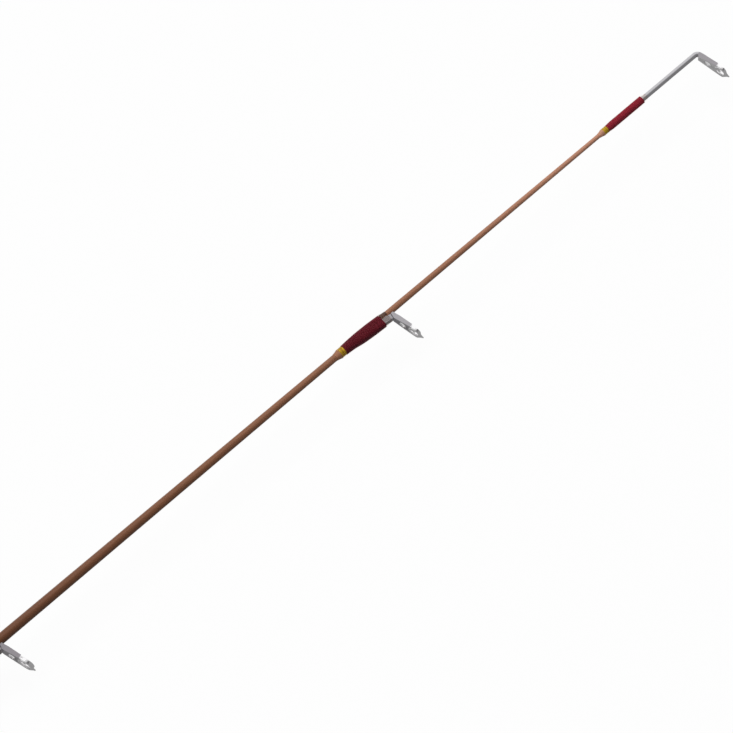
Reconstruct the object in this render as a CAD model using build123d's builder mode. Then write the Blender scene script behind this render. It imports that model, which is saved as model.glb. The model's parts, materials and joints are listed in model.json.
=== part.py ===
from build123d import *
import os
from dataclasses import dataclass
from math import acos, asin, atan2, cos, hypot, pi, radians, sin, tan

# An ice fishing rod, laid down as it rests: on its two cork grips and on the rim of its
# largest line guide. The rod's axis is the X axis, the butt end is at x = 0 and the tip
# points to +X. Millimetres.

# ------------------------------------------------------------------ driving sizes: the rod
rod_length = 762.0          # butt end to the end of the tip tube
blank_tip_d = 1.0           # blank diameter at the tip
blank_butt_d = 4.9          # blank diameter in the handle
glue_gap = 0.05             # radial gap that glue or finish fills between nested round pieces
overrun = 1.0               # how far a cutting shape runs past the piece that it cuts

# ------------------------------------------------------------------ driving sizes: the handle
cap_length = 16.0           # butt cap, from the butt end to its mouth
cap_floor = 3.0             # its end wall
cap_r = 11.9
spigot_r = 9.8              # turned-down end of the rear grip, inside the cap
rear_grip_length = 88.0     # from the cap's mouth
grip_r = 12.0               # largest radius of both grips
grip_waist_r = 10.2
grip_straight = 52.0        # straight stretch of the rear grip
cap_round = 2.6
trim_ring_length = 2.5
trim_ring_r = 10.4
fore_grip_length = 36.0
fore_straight = 7.0         # straight stretch of the fore grip
fore_nose_r = 5.8           # front end of the fore grip
check_length = 3.5          # winding check
check_rim = 1.0
check_r = 5.0
check_nose_r = 3.1
grip_round = 1.2            # rounding of the cork's outer corners

# ------------------------------------------------------------------ driving sizes: the reel seat
seat_length = 101.0
barrel_r = 8.5
thread_r = 7.9              # barrel under the thread
barrel_bore_r = 6.3
collar_length = 2.0         # flange at the seat's rear end
collar_r = 10.2
saddle_height = 7.8         # flat that the reel foot lies on, above the rod's axis
saddle_length = 36.0
saddle_step = 0.1           # how much lower the fixed hood's floor is
thread_length = 43.0
key_width = 2.8
key_depth = 0.85            # how far the sliding hood's key reaches below the thread
key_gap = 0.15              # between the key and the floor of its groove
running_gap = 0.06
hood_gap = 0.3              # sliding hood clear of the barrel
pocket_width = 13.6         # room for the end of the reel foot
pocket_height = 5.7         # at the hood's mouth, above the saddle
pocket_flat = 5.0           # full height for this far
pocket_taper = 3.3          # how much lower the pocket is at its far end
pocket_corner_r = 3.5
fixed_pocket_depth = 17.0
fixed_hood_length = 20.0    # from its mouth back to the collar
slide_pocket_depth = 14.0
slide_hood_length = 18.0
hood_travel = 12.5
liner_wall = 0.8
shell_wall = 0.6
hood_corner_r = 5.4
hood_back_rise = 0.8        # how far a hood's low end stands over its ring
shell_short = 1.5           # stretch of the sliding hood's ring in front of its shell
nut_length = 13.0
nut_r = 10.7
nut_flutes = 18
flute_r = 1.1
flute_depth = 0.55
band_length = 2.2
band_wall = 0.7
face_gap = 0.1              # between the nut and the hood
nut_rest = 5.9              # room that the nut has left in front of it
arbor_length = 12.0
arbor_count = 3

# ------------------------------------------------------------------ driving sizes: the tip-top
tube_exposed = 20.2         # bright tube in front of the tip wrap
tube_covered = 12.0         # tube under the tip wrap
tube_wall = 0.1
tube_climb = 1.2            # ramp of the thread up onto the tube
tube_end_wall = 1.0
elbow_r = 1.4               # bend from the tube into the blade
elbow_tail = 1.5            # straight end of the elbow, in the blade's channel
elbow_hold = 0.6            # how far the blade's flanges reach back beside the elbow
tip_ring_height = 8.5       # rod axis to ring centre
tip_wrap_length = 15.0

# ------------------------------------------------------------------ driving sizes: guides
guide_reach = 83.0          # bare blank from the winding check to the first guide's bend
sheet = 0.4                 # thickness of the stamped guide sheet
braze_gap = 0.03
foot_length = 10.6
foot_corner_r = 0.4
foot_toe = 0.35             # thickness of a foot's thin end
foot_drop = 1.55            # its thickness at the bend
foot_bare = 2.7             # stretch of the foot in front of its wrap
foot_climb = 3.0            # ramp of the thread up onto a foot
neck_flat = 1.2             # full flange depth for this far below the bend
flange_start = 0.2          # flanges beside the blank start this far in front of the bend
bend_round = 0.45           # inside radius of the bend between foot and blade
flange_rise = 0.35          # flanges beside the blank end this share of its radius below its axis
guide_wrap_length = 15.2
trim_length = 1.6           # band of gold thread at the butt end of a wrap
thread_cover = 0.37         # thickness of wound thread
wrap_swell = 0.33           # how much thicker a guide's wrap is in its middle
finish_cover = 0.1          # clear finish over the thread
finish_toe = 1.6            # tapered end of the finish
finish_edge = 0.12          # its thickness at the very end
finish_gap = 0.5            # between its front end and the guide's bend
window_share = 0.9          # length of a blade's oval window, as a share of its width
ring_front = 0.35           # how far a ring stands out of the blade on each side
ring_land_round = 0.3       # rounding of the ring's bore edges
ring_wall = 0.75

# ------------------------------------------------------------------ driving sizes: hook keeper
keeper_wire_r = 0.5
keeper_start = 15.0         # winding check to the middle of the keeper
keeper_span = 6.0           # between the middles of its legs
keeper_height = 3.7         # rise of the wire over its feet
keeper_foot = 4.5
keeper_wrap_length = 4.6
keeper_bend_r = 0.9


@dataclass
class Guide:
    """One line guide: its place, its ring and its blade."""
    name: str
    spacing: float          # gap to the next guide towards the tip, as its part of all the gaps
    lean: float             # angle between its blade and the rod, in degrees
    ring_height: float      # rod axis to ring centre
    bore_r: float
    rim_r: float            # rim of the blade round the ring
    nose: float             # how far the blade's pointed end stands out of the rim
    neck_depth: float       # flange at the bend
    rim_depth: float        # flange round the ring
    window: float           # width of the blade's oval window


upper_guide = Guide("upper_guide", 116.4, 76.5, 9.15, 1.25, 2.45, 0.5, 1.4, 0.6, 2.3)
middle_guide = Guide("middle_guide", 142.6, 74.0, 9.9, 1.6, 2.9, 0.4, 1.5, 0.7, 2.7)
stripper_guide = Guide("stripper_guide", 173.0, 75.0, 17.0, 3.6, 5.4, 0.0, 2.0, 1.2, 4.6)
tip_top = Guide("tip", 0.0, 76.5, tip_ring_height, 1.25, 2.45, 0.5, 1.4, 0.6, 2.3)
line_guides = [upper_guide, middle_guide, stripper_guide]

# ------------------------------------------------------------------ places worked out from them
x_trim = cap_length + rear_grip_length
x_seat = x_trim + trim_ring_length
x_fore = x_seat + seat_length
x_check = x_fore + fore_grip_length
x_bare = x_check + check_length
x_tube = rod_length - tube_exposed - tube_covered
x_tip_wrap = rod_length - tube_exposed
x_saddle = x_seat + collar_length + fixed_hood_length
x_thread = x_fore - thread_length
x_nut = x_fore - nut_rest - nut_length
x_slide = x_nut - face_gap - slide_hood_length
x_keeper = x_bare + keeper_start
guide_run = rod_length - x_bare - guide_reach
guide_gaps = sum(guide.spacing for guide in line_guides)
hood_ring_r = barrel_r + hood_gap + liner_wall
pocket_roof = saddle_height + pocket_height

# The guides point to the side and a little down, so that the stripper guide's rim
# touches the floor that both grips lie on
guide_roll = asin((grip_r - stripper_guide.rim_r) / stripper_guide.ring_height)
guide_dir = Vector(0, -cos(guide_roll), -sin(guide_roll))
side_dir = Vector(0, sin(guide_roll), -cos(guide_roll))


def blank_r(x):
    """Radius of the blank at x: straight in the handle, then tapering to the tip."""
    taper = (blank_butt_d - blank_tip_d) / (rod_length - x_bare)
    return (blank_butt_d - taper * max(x - x_bare, 0.0)) / 2


tube_bore_r = blank_r(x_tube) + glue_gap
tube_r = tube_bore_r + tube_wall


def side_plane(x):
    """Plane through the rod's axis: first direction along the rod, second to the guides."""
    return Plane(origin=(x, 0, 0), x_dir=(1, 0, 0), z_dir=side_dir)


def cross_plane(x):
    """Plane across the rod: its second direction points to the guides."""
    return Plane(origin=(x, 0, 0), x_dir=side_dir * -1, z_dir=(1, 0, 0))


def blade_plane(guide, x, height):
    """Plane of a guide's blade, with its second direction down the blade."""
    origin = Vector(x, 0, 0) + guide_dir * height
    lean = radians(guide.lean)
    normal = Vector(sin(lean), 0, 0) - guide_dir * cos(lean)
    return Plane(origin=origin, x_dir=side_dir * -1, z_dir=normal)


def three_circle_face(plane, ring, side, low, corner):
    """Face bounded by a band round a circle on the rod's axis and two smaller ones.

    The smaller circles lie at side to the left and right, and low towards the guides."""
    turn = atan2(low, side) - acos((ring - corner) / hypot(side, low))
    out = Vector(cos(turn), sin(turn))
    centre = Vector(side, low)
    down = Vector(0, 1)
    ring_end = out * ring
    corner_start = centre + out * corner
    corner_middle = centre + (out + down).normalized() * corner
    corner_end = centre + down * corner

    def mirrored(point):
        return Vector(-point.X, point.Y)

    with BuildSketch(plane) as face:
        with BuildLine():
            ThreePointArc(mirrored(ring_end), (0, -ring), ring_end)
            Line(ring_end, corner_start)
            ThreePointArc(corner_start, corner_middle, corner_end)
            Line(corner_end, mirrored(corner_end))
            ThreePointArc(mirrored(corner_end), mirrored(corner_middle), mirrored(corner_start))
            Line(mirrored(corner_start), mirrored(ring_end))
        make_face()
    return face.sketch


def save(piece, name):
    piece.part.label = name
    export_step(piece.part, f"parts/{name}.step")


def turned(points, radii):
    """A turned piece: its half section, as (along, radius) points, spun about the rod."""
    with BuildPart() as piece:
        with BuildSketch(Plane.XZ):
            with BuildLine():
                FilletPolyline(*points, radius=radii, close=True)
            make_face()
        revolve(axis=Axis.X)
    return piece


# ------------------------------------------------------------------ line guides
def ring_place(guide, height):
    """Distance down a blade from its bend, at this height below the rod's axis, to the ring."""
    return (guide.ring_height - height) / sin(radians(guide.lean))


def blade_outline(plane, ring_at, guide, neck_width, tail, inset):
    """Face of a blade: a narrow neck that widens to the rim round the ring."""
    nose_r = 0.3 * guide.rim_r
    with BuildSketch(plane) as outline:
        with Locations((0, ring_at)):
            Circle(guide.rim_r - inset)
        with Locations((0, ring_at + guide.rim_r + guide.nose - nose_r)):
            Circle(nose_r - inset)
        with Locations((0, sheet / 2)):
            Rectangle(neck_width - 2 * inset, sheet)
        make_hull()
        with Locations((0, -tail / 2)):
            Rectangle(neck_width - 2 * inset, tail)
    return outline.sketch


def guide_blade(guide, x, height, neck_width, top, setback):
    """Stamped blade of a guide: a tray with flanges on the tip side, a window and a ring seat.

    It bends from the foot at this height below the rod's axis, and its flanges go on
    above the bend by top, where they start setback in front of the blade's face."""
    lean = radians(guide.lean)
    ring_at = ring_place(guide, height)
    end = ring_at + guide.rim_r + guide.nose
    spare = 2 * guide.neck_depth
    side = side_plane(x)
    face = blade_plane(guide, x, height)

    def at(along, out):
        """Point so far along the blade and out of it, in the guide's side plane."""
        return (along * cos(lean) + out * sin(lean), height + along * sin(lean) - out * cos(lean))

    with BuildPart() as hollow:
        with BuildSketch(side):
            with BuildLine():
                Polyline(
                    at(-top - spare, sheet),
                    at(end + spare, sheet),
                    at(end + spare, spare),
                    at(-top - spare, spare),
                    close=True,
                )
            make_face()
        extrude(amount=2 * guide.rim_r, both=True)
        inner = blade_outline(face, ring_at, guide, neck_width, top + spare, sheet)
        extrude(inner, amount=2 * spare, both=True, mode=Mode.INTERSECT)

    with BuildPart() as blade:
        with BuildSketch(side):
            with BuildLine():
                FilletPolyline(
                    at(0, 0),
                    at(end, 0),
                    at(end, guide.rim_depth),
                    at(neck_flat, guide.neck_depth),
                    at(-top, guide.neck_depth),
                    at(-top, setback),
                    radius=[0, 0, 0, 0.6, 0.3, 0.3],
                    close=True,
                )
            make_face()
        extrude(amount=2 * guide.rim_r, both=True)
        outer = blade_outline(face, ring_at, guide, neck_width, top + spare, 0)
        extrude(outer, amount=spare, both=True, mode=Mode.INTERSECT)
        add(hollow.part, mode=Mode.SUBTRACT)
        window_at = (ring_at - guide.bore_r - ring_wall) / 2 + sheet
        with BuildSketch(face):
            with Locations((0, ring_at)):
                Circle(guide.bore_r + ring_wall + glue_gap)
            with Locations((0, window_at)):
                Ellipse(guide.window / 2, window_share * guide.window / 2)
        extrude(amount=1.5 * sheet, both=True, mode=Mode.SUBTRACT)
    return blade


def guide_ring(guide, x, height):
    """Polished ring: a flanged bush seated in the blade, with rounded bore edges."""
    face = blade_plane(guide, x, height)
    centre = face.origin + face.y_dir * ring_place(guide, height)
    body_r = guide.bore_r + ring_wall
    flange_r = guide.rim_r - sheet - glue_gap
    top = guide.rim_depth + ring_front
    section = Plane(origin=centre, x_dir=face.y_dir, z_dir=side_dir * -1)
    with BuildPart() as ring:
        with BuildSketch(section):
            with BuildLine():
                FilletPolyline(
                    (guide.bore_r, -ring_front),
                    (body_r, -ring_front),
                    (body_r, sheet),
                    (flange_r, sheet),
                    (flange_r, top),
                    (guide.bore_r, top),
                    radius=[ring_land_round, 0.2, 0, 0, 0.2, ring_land_round],
                    close=True,
                )
            make_face()
        revolve(axis=Axis(centre, face.z_dir))
    return ring


def blank_room(x0, x1, gap):
    """Room for the blank between two places, with this gap round it."""
    section = [(x0, 0), (x0, blank_r(x0) + gap), (x1, blank_r(x1) + gap), (x1, 0)]
    return turned(section, [0, 0, 0, 0]).part


def foot_bottom(x_bend, x):
    """Height of a foot's underside at x, below the rod's axis."""
    share = (x_bend - x) / foot_length
    return blank_r(x) + foot_drop + (foot_toe - foot_drop) * share


def guide_foot(x_bend):
    """Tapered foot that lies along the blank, with its edges rounded for the thread.

    Its front end runs into the sheet of the blade."""
    half = blank_r(x_bend) - glue_gap
    corner = min(foot_corner_r, 0.8 * foot_toe)
    with BuildPart() as foot:
        for x in (x_bend - foot_length, x_bend + sheet / 2):
            bottom = foot_bottom(x_bend, min(x, x_bend))
            with BuildSketch(cross_plane(x)):
                with BuildLine():
                    FilletPolyline(
                        (-half, 0.5 * half),
                        (-half, bottom),
                        (half, bottom),
                        (half, 0.5 * half),
                        radius=[0, corner, corner, 0],
                        close=True,
                    )
                make_face()
        loft(ruled=True)
    return foot


def wound_section(x, cover, bottom):
    """Section of thread or finish round the blank and, where bottom is given, a guide foot."""
    outer = blank_r(x) + cover
    if bottom is None:
        corner, side, low = 0.88 * outer, 0.1 * outer, 0.12 * outer
    else:
        corner = foot_corner_r + cover
        side = blank_r(x) - foot_corner_r
        low = bottom - foot_corner_r
    return three_circle_face(cross_plane(x), outer, side, low, corner)


def wound(stations):
    """Solid lofted through sections given as (x, cover, foot bottom or None)."""
    with BuildPart() as winding:
        loft([wound_section(x, cover, bottom) for x, cover, bottom in stations], ruled=True)
    return winding.part


def trim_band(x_back):
    """Narrow band of gold thread on the bare blank."""
    with BuildPart() as band:
        with BuildSketch(Plane.YZ.offset(x_back)):
            Circle(blank_r(x_back) + thread_cover)
        extrude(amount=trim_length)
        add(blank_room(x_back, x_back + trim_length, glue_gap), mode=Mode.SUBTRACT)
    return band


def wrapped_guide(guide, x_bend):
    """A guide with its foot, ring, thread wrap, gold trim and clear finish."""
    height = blank_r(x_bend) + foot_drop
    neck_width = 2 * (blank_r(x_bend) + glue_gap + sheet)
    lean = radians(guide.lean)
    top = (height - flange_rise * blank_r(x_bend)) / sin(lean)
    setback = top / tan(lean) + flange_start
    blade = guide_blade(guide, x_bend, height, neck_width, top, setback)
    foot = guide_foot(x_bend)
    room = blank_room(x_bend - 2 * foot_length, x_bend + foot_length, glue_gap)
    corner = Vector(x_bend, 0, 0) + guide_dir * height
    with BuildPart() as frame:
        add(blade.part)
        add(foot.part)
        bend = frame.edges().sort_by(lambda edge: (edge @ 0.5 - corner).length)[0]
        fillet(bend, bend_round)
        add(room, mode=Mode.SUBTRACT)
    save(frame, f"{guide.name}_frame")
    save(guide_ring(guide, x_bend, height), f"{guide.name}_ring")

    x_front = x_bend - foot_bare
    x_back = x_front - guide_wrap_length
    x_wrap = x_back + trim_length
    x_toe = x_bend - foot_length
    x_ramp = x_toe - foot_climb
    x_edge = x_bend - finish_gap
    x_middle = (x_toe + x_front) / 2

    def over_the_foot(cover, *places):
        """Stations with this cover, thicker in the wrap's middle, at these places."""
        stations = []
        for x in places:
            swell = wrap_swell * sin(pi * (x - x_back) / guide_wrap_length)
            bottom = None if x < x_toe else foot_bottom(x_bend, x)
            stations.append((x, cover + swell, bottom))
        return stations

    inside = wound(
        [
            (x_back - 2 * finish_toe, glue_gap, None),
            (x_ramp, glue_gap, None),
            (x_toe, glue_gap, foot_bottom(x_bend, x_toe)),
            (x_bend, glue_gap, height),
        ]
    )
    with BuildPart() as wrap:
        add(wound(over_the_foot(thread_cover, x_wrap, x_ramp, x_toe, x_middle, x_front)))
        add(inside, mode=Mode.SUBTRACT)
    save(wrap, f"{guide.name}_wrap")
    save(trim_band(x_back), f"{guide.name}_trim")

    places = [x_back, x_wrap, x_ramp, x_toe, x_middle, x_front]
    coat = [(x_back - finish_toe, finish_edge, None)]
    coat += over_the_foot(thread_cover + finish_cover, *places)
    coat.append((x_edge, finish_edge, foot_bottom(x_bend, x_edge)))
    with BuildPart() as finish:
        add(wound(coat))
        add(wound(over_the_foot(thread_cover + glue_gap / 2, *places)), mode=Mode.SUBTRACT)
        add(inside, mode=Mode.SUBTRACT)
    save(finish, f"{guide.name}_finish")


# ------------------------------------------------------------------ reel-seat hoods
def hood_form(x_mouth, facing, length, grow, spare):
    """Solid form of a hood, full height at its mouth, sloping down to its ring behind.

    facing is +1 where the mouth faces the tip; spare lets a cutting form run past both ends."""
    half_width = pocket_width / 2 + liner_wall + grow
    high = pocket_roof + liner_wall + grow
    low = hood_ring_r + hood_back_rise + grow
    slope = (high - low) / (length - pocket_flat)
    stations = [
        (x_mouth + facing * spare, high),
        (x_mouth - facing * pocket_flat, high),
        (x_mouth - facing * (length + spare), low - slope * spare),
    ]
    ring = hood_ring_r + grow
    side = half_width - hood_corner_r
    sections = [
        three_circle_face(cross_plane(x), ring, side, crown - hood_corner_r, hood_corner_r)
        for x, crown in stations
    ]
    with BuildPart() as form:
        loft(sections, ruled=True)
    return form.part


def hood_pocket(x_mouth, facing, depth, floor):
    """Room for one end of the reel foot, lower at its far end."""
    with BuildPart() as pocket:
        with BuildSketch(side_plane(x_mouth)):
            with BuildLine():
                Polyline(
                    (-facing * depth, floor),
                    (facing, floor),
                    (facing, pocket_roof),
                    (-facing * pocket_flat, pocket_roof),
                    (-facing * depth, pocket_roof - pocket_taper),
                    close=True,
                )
            make_face()
        extrude(amount=pocket_width / 2, both=True)
        lengthwise = pocket.edges().filter_by(lambda edge: abs((edge % 0.5).X) > 0.5)
        fillet(lengthwise.sort_by(lambda edge: guide_dir.dot(edge @ 0.5))[-4:], pocket_corner_r)
    return pocket.part


def hood_shell(x_mouth, facing, length, short):
    """Sheet-metal cover over a hood's liner, short of the liner's low end."""
    with BuildPart() as shell:
        add(hood_form(x_mouth, facing, length, glue_gap + shell_wall, 0))
        add(hood_form(x_mouth, facing, length, glue_gap, 1), mode=Mode.SUBTRACT)
        if short:
            with BuildSketch(Plane.YZ.offset(x_mouth - facing * (length - short))):
                Circle(4 * barrel_r)
            extrude(amount=-facing * 2 * short, mode=Mode.SUBTRACT)
    return shell


os.makedirs("parts", exist_ok=True)

# ------------------------------------------------------------------ blank
x_blank_end = rod_length - tube_end_wall - glue_gap
blank = turned(
    [
        (cap_floor, 0),
        (cap_floor, blank_r(0)),
        (x_bare, blank_r(x_bare)),
        (x_blank_end, blank_r(x_blank_end)),
        (x_blank_end, 0),
    ],
    [0, 0.4, 0, 0.1, 0],
)
save(blank, "blank")

# ------------------------------------------------------------------ tip-top
with BuildPart() as tip_tube:
    with BuildSketch(Plane.YZ.offset(x_tube)):
        Circle(tube_r)
    extrude(amount=rod_length - x_tube)
    with BuildLine(side_plane(rod_length)) as elbow:
        bend = JernArc((0, 0), (1, 0), elbow_r, tip_top.lean)
        Line(bend @ 1, (bend @ 1) + (bend % 1) * elbow_tail)
    with BuildSketch(cross_plane(rod_length)):
        Circle(tube_r)
    sweep(path=elbow.line)
    with BuildSketch(Plane.YZ.offset(x_tube)):
        Circle(tube_bore_r)
    extrude(amount=rod_length - tube_end_wall - x_tube, mode=Mode.SUBTRACT)
save(tip_tube, "tip_tube")

# The elbow's straight tail is brazed into the channel of the blade
tail_to_floor = tube_r + braze_gap + sheet
tip_lean = radians(tip_top.lean)
x_tip_blade = rod_length + (elbow_r - tail_to_floor) * sin(tip_lean)
tip_blade_height = elbow_r - (elbow_r - tail_to_floor) * cos(tip_lean)
tip_neck = 2 * tail_to_floor
tip_frame = guide_blade(tip_top, x_tip_blade, tip_blade_height, tip_neck, elbow_hold, 2 * sheet)
save(tip_frame, "tip_frame")
save(guide_ring(tip_top, x_tip_blade, tip_blade_height), "tip_ring")

x_tip_back = x_tip_wrap - tip_wrap_length
blank_cover = blank_r(x_tip_back) + thread_cover
tube_cover = tube_r + thread_cover
tip_wrap = turned(
    [
        (x_tip_back + trim_length, blank_r(x_tip_back) + glue_gap),
        (x_tip_back + trim_length, blank_cover),
        (x_tube - tube_climb, blank_cover),
        (x_tube, tube_cover),
        (x_tip_wrap, tube_cover),
        (x_tip_wrap, tube_r + glue_gap),
        (x_tube - glue_gap, tube_r + glue_gap),
        (x_tube - glue_gap, blank_r(x_tube) + glue_gap),
    ],
    [0, 0, 0, 0, 0, 0, 0, 0],
)
save(tip_wrap, "tip_wrap")
save(trim_band(x_tip_back), "tip_trim")

tip_finish = turned(
    [
        (x_tip_back - finish_toe, blank_r(x_tip_back - finish_toe) + glue_gap),
        (x_tip_back - finish_toe, blank_r(x_tip_back - finish_toe) + finish_edge),
        (x_tip_back, blank_cover + finish_cover),
        (x_tube - tube_climb, blank_cover + finish_cover),
        (x_tube, tube_cover + finish_cover),
        (x_tip_wrap, tube_cover + finish_cover),
        (x_tip_wrap + finish_toe, tube_r + finish_edge),
        (x_tip_wrap + finish_toe, tube_r + glue_gap),
        (x_tip_wrap + glue_gap, tube_r + glue_gap),
        (x_tip_wrap + glue_gap, tube_cover + glue_gap),
        (x_tube, tube_cover + glue_gap),
        (x_tube - tube_climb, blank_cover + glue_gap),
        (x_tip_back - glue_gap, blank_cover + glue_gap),
        (x_tip_back - glue_gap, blank_r(x_tip_back) + glue_gap),
    ],
    [0] * 14,
)
save(tip_finish, "tip_finish")

# ------------------------------------------------------------------ line guides
x_guide = rod_length
for guide in line_guides:
    x_guide -= guide_run * guide.spacing / guide_gaps
    wrapped_guide(guide, x_guide)

# ------------------------------------------------------------------ hook keeper
keeper_level = blank_r(x_keeper) + glue_gap + keeper_wire_r
leg = keeper_span / 2
with BuildPart() as hook_keeper:
    with BuildLine(side_plane(x_keeper)) as wire:
        FilletPolyline(
            (-leg - keeper_foot, keeper_level),
            (-leg, keeper_level),
            (-leg, keeper_level + keeper_height),
            (leg, keeper_level + keeper_height),
            (leg, keeper_level),
            (leg + keeper_foot, keeper_level),
            radius=[keeper_bend_r, 2 * keeper_bend_r, 2 * keeper_bend_r, keeper_bend_r],
        )
    with BuildSketch(cross_plane(x_keeper - leg - keeper_foot)):
        with Locations((0, keeper_level)):
            Circle(keeper_wire_r)
    sweep(path=wire.line)
save(hook_keeper, "hook_keeper")


def keeper_winding(x_start, length, cover):
    """Solid round the blank and one foot of the keeper."""
    with BuildPart() as winding:
        with BuildSketch(cross_plane(x_start)):
            Circle(blank_r(x_keeper - leg) + cover)
            with Locations((0, keeper_level)):
                Circle(keeper_wire_r + cover)
            make_hull()
        extrude(amount=length)
    return winding.part


x_keeper_wraps = (
    x_keeper - leg - keeper_bend_r - keeper_wrap_length,
    x_keeper + leg + keeper_bend_r,
)
with BuildPart() as keeper_wraps:
    for x in x_keeper_wraps:
        add(keeper_winding(x, keeper_wrap_length, thread_cover))
    for x in x_keeper_wraps:
        add(keeper_winding(x - overrun, keeper_wrap_length + 2 * overrun, glue_gap), mode=Mode.SUBTRACT)
save(keeper_wraps, "keeper_wraps")

x_keeper_trims = (x_keeper_wraps[0] - trim_length, x_keeper_wraps[1] + keeper_wrap_length)
with BuildPart() as keeper_trims:
    for x in x_keeper_trims:
        add(trim_band(x).part)
save(keeper_trims, "keeper_trims")

with BuildPart() as keeper_finish:
    x_rear = x_keeper_trims[0]
    x_ahead = x_keeper_wraps[1]
    coat_length = keeper_wrap_length + trim_length
    for x in (x_rear, x_ahead):
        add(keeper_winding(x, coat_length, thread_cover + finish_cover))
    for x in (x_rear, x_ahead):
        under_coat = keeper_winding(x - overrun, coat_length + 2 * overrun, thread_cover + glue_gap)
        add(under_coat, mode=Mode.SUBTRACT)
save(keeper_finish, "keeper_finish")

# ------------------------------------------------------------------ handle: turned pieces
inner_r = blank_butt_d / 2 + glue_gap
winding_check = turned(
    [
        (x_check, inner_r),
        (x_check, check_r),
        (x_check + check_rim, check_r),
        (x_bare, check_nose_r),
        (x_bare, inner_r),
    ],
    [0, 0.2, 0.3, 0.3, 0],
)
save(winding_check, "winding_check")

with BuildPart() as fore_grip:
    with BuildSketch(Plane.XZ):
        with BuildLine():
            Line((x_check, inner_r), (x_fore, inner_r))
            FilletPolyline(
                (x_fore, inner_r),
                (x_fore, grip_r),
                (x_fore + fore_straight, grip_r),
                radius=[grip_round],
            )
            Spline(
                (x_fore + fore_straight, grip_r),
                (x_check, fore_nose_r),
                tangents=[(1, 0), (1, -0.12)],
            )
            Line((x_check, fore_nose_r), (x_check, inner_r))
        make_face()
    revolve(axis=Axis.X)
save(fore_grip, "fore_grip")

with BuildPart() as rear_grip:
    x_straight = cap_length + grip_straight
    with BuildSketch(Plane.XZ):
        with BuildLine():
            Line((x_trim, inner_r), (cap_floor, inner_r))
            FilletPolyline(
                (cap_floor, inner_r),
                (cap_floor, spigot_r),
                (cap_length, spigot_r),
                (cap_length, grip_r),
                (x_straight, grip_r),
                radius=[0, 0, grip_round],
            )
            Spline(
                (x_straight, grip_r),
                (x_trim, grip_waist_r),
                tangents=[(1, 0), (1, 0)],
            )
            Line((x_trim, grip_waist_r), (x_trim, inner_r))
        make_face()
    revolve(axis=Axis.X)
save(rear_grip, "rear_grip")

butt_cap = turned(
    [
        (0, 0),
        (0, cap_r),
        (cap_length, cap_r),
        (cap_length, spigot_r + glue_gap),
        (cap_floor, spigot_r + glue_gap),
        (cap_floor, 0),
    ],
    [0, cap_round, 0.5, 0, 0, 0],
)
save(butt_cap, "butt_cap")

trim_ring = turned(
    [
        (x_trim, inner_r),
        (x_trim, trim_ring_r),
        (x_seat, trim_ring_r),
        (x_seat, inner_r),
    ],
    [0, 0.5, 0.5, 0],
)
save(trim_ring, "trim_ring")

# ------------------------------------------------------------------ reel seat
with BuildPart() as seat_body:
    with BuildSketch(Plane.YZ.offset(x_seat)):
        Circle(collar_r)
    extrude(amount=collar_length)
    with BuildSketch(Plane.YZ.offset(x_seat)):
        Circle(barrel_r)
    extrude(amount=seat_length - thread_length)
    with BuildSketch(Plane.YZ.offset(x_seat)):
        Circle(thread_r)
    extrude(amount=seat_length)
    add(hood_form(x_saddle, 1, fixed_hood_length, 0, 0))
    add(hood_pocket(x_saddle, 1, fixed_pocket_depth, saddle_height - saddle_step), mode=Mode.SUBTRACT)
    with BuildSketch(side_plane(x_saddle)):
        with Locations((saddle_length / 2, saddle_height)):
            Rectangle(saddle_length, barrel_r, align=(Align.CENTER, Align.MIN))
    extrude(amount=barrel_r, both=True, mode=Mode.SUBTRACT)
    x_groove = x_slide - hood_travel - overrun
    groove_half = key_width / 2 + running_gap
    groove_floor = thread_r - key_depth - key_gap
    with BuildSketch(side_plane(x_groove)):
        with Locations((0, -groove_floor)):
            Rectangle(x_fore - x_groove, barrel_r, align=(Align.MIN, Align.MAX))
    extrude(amount=groove_half, both=True, mode=Mode.SUBTRACT)
    with BuildSketch(Plane.YZ.offset(x_seat)):
        Circle(barrel_bore_r)
    extrude(amount=seat_length, mode=Mode.SUBTRACT)
save(seat_body, "seat_body")
save(hood_shell(x_saddle, 1, fixed_hood_length, 0), "fixed_hood_shell")

with BuildPart() as slide_hood:
    add(hood_form(x_slide, -1, slide_hood_length, 0, 0))
    add(hood_pocket(x_slide, -1, slide_pocket_depth, barrel_r / 2), mode=Mode.SUBTRACT)
    with BuildSketch(Plane.YZ.offset(x_slide)):
        Circle(barrel_r + hood_gap)
    extrude(amount=slide_hood_length, mode=Mode.SUBTRACT)
    with BuildSketch(side_plane(x_slide)):
        with Locations((0, key_depth - thread_r)):
            Rectangle(
                slide_hood_length,
                barrel_r + hood_gap + liner_wall / 2 - thread_r + key_depth,
                align=(Align.MIN, Align.MAX),
            )
    extrude(amount=key_width / 2, both=True)
save(slide_hood, "slide_hood")
save(hood_shell(x_slide, -1, slide_hood_length, shell_short), "slide_hood_shell")

with BuildPart() as lock_nut:
    with BuildSketch(Plane.XZ):
        with BuildLine():
            FilletPolyline(
                (x_nut, thread_r + running_gap),
                (x_nut, nut_r - band_wall - glue_gap),
                (x_nut + band_length + glue_gap, nut_r - band_wall - glue_gap),
                (x_nut + band_length + glue_gap, nut_r),
                (x_nut + nut_length, nut_r),
                (x_nut + nut_length, thread_r + running_gap),
                radius=[0, 0, 0, 0.3, 1.0, 0.3],
                close=True,
            )
        make_face()
    revolve(axis=Axis.X)
    with BuildSketch(Plane.YZ.offset(x_nut + 2 * band_length)):
        with PolarLocations(nut_r + flute_r - flute_depth, nut_flutes):
            Circle(flute_r)
    extrude(amount=nut_length, mode=Mode.SUBTRACT)
save(lock_nut, "lock_nut")

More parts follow.
